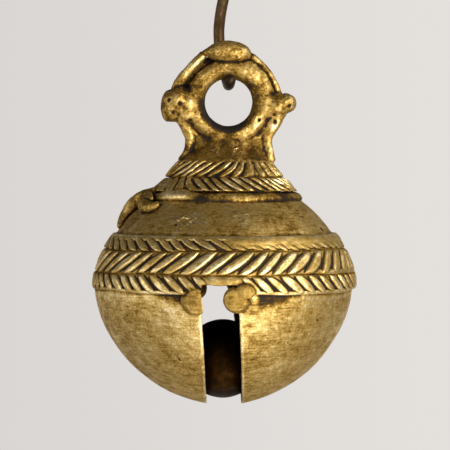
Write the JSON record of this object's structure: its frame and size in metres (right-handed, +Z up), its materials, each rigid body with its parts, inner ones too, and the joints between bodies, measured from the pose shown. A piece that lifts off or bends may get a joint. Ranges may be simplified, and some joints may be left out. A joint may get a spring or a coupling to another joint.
{
  "type": "puja bell",
  "caption": "Round cast brass crotal bell with plaited bands, a crown ring on a wire hook, and a loose pellet that rattles in the slotted bowl.",
  "frame": {"origin": "centre of the hook's eye, where the bell hangs", "axes": "+Z up along the hanging line, the front of the bell faces -Y, the slot runs along Y"},
  "size_m": [0.065, 0.0672, 0.1198],
  "materials": {
    "cast_brass": "aged cast brass, worn bright on the ridges and dark brown in the grooves",
    "dark_wire": "dark brown oxidised wire",
    "pellet_iron": "brown oxidised pellet"
  },
  "bodies": {
    "hook": {"hanging_hook": "dark_wire"},
    "bell": {"crown_ring": "cast_brass", "crown_cap": "cast_brass", "side_boss_left": "cast_brass", "side_boss_right": "cast_brass", "crown_strand_upper_left": "cast_brass", "crown_strand_upper_right": "cast_brass", "crown_strand_lower_left": "cast_brass", "crown_strand_lower_right": "cast_brass", "neck_core": "cast_brass", "neck_braid_upper": "cast_brass", "neck_braid_lower": "cast_brass", "collar_rim": "cast_brass", "shoulder_dome": "cast_brass", "shoulder_figure": "cast_brass", "band_braid_upper": "cast_brass", "band_braid_middle": "cast_brass", "band_braid_lower": "cast_brass", "lower_bowl": "cast_brass", "slot_boss_front_left": "cast_brass", "slot_boss_front_right": "cast_brass", "slot_boss_back_left": "cast_brass", "slot_boss_back_right": "cast_brass"},
    "pellet": {"pellet": "pellet_iron"}
  },
  "joints": [
    {"name": "bell_swing", "type": "hinge", "parent": "hook", "child": "bell", "pos_m": [0, 0, -0.034], "axis": [0, 1, 0], "range_deg": [-75, 75]},
    {"name": "pellet_roll", "type": "hinge", "parent": "bell", "child": "pellet", "pos_m": [-0.001, 0, -0.0848], "axis": [1, 0, 0], "range_deg": [-70, 70]}
  ]
}
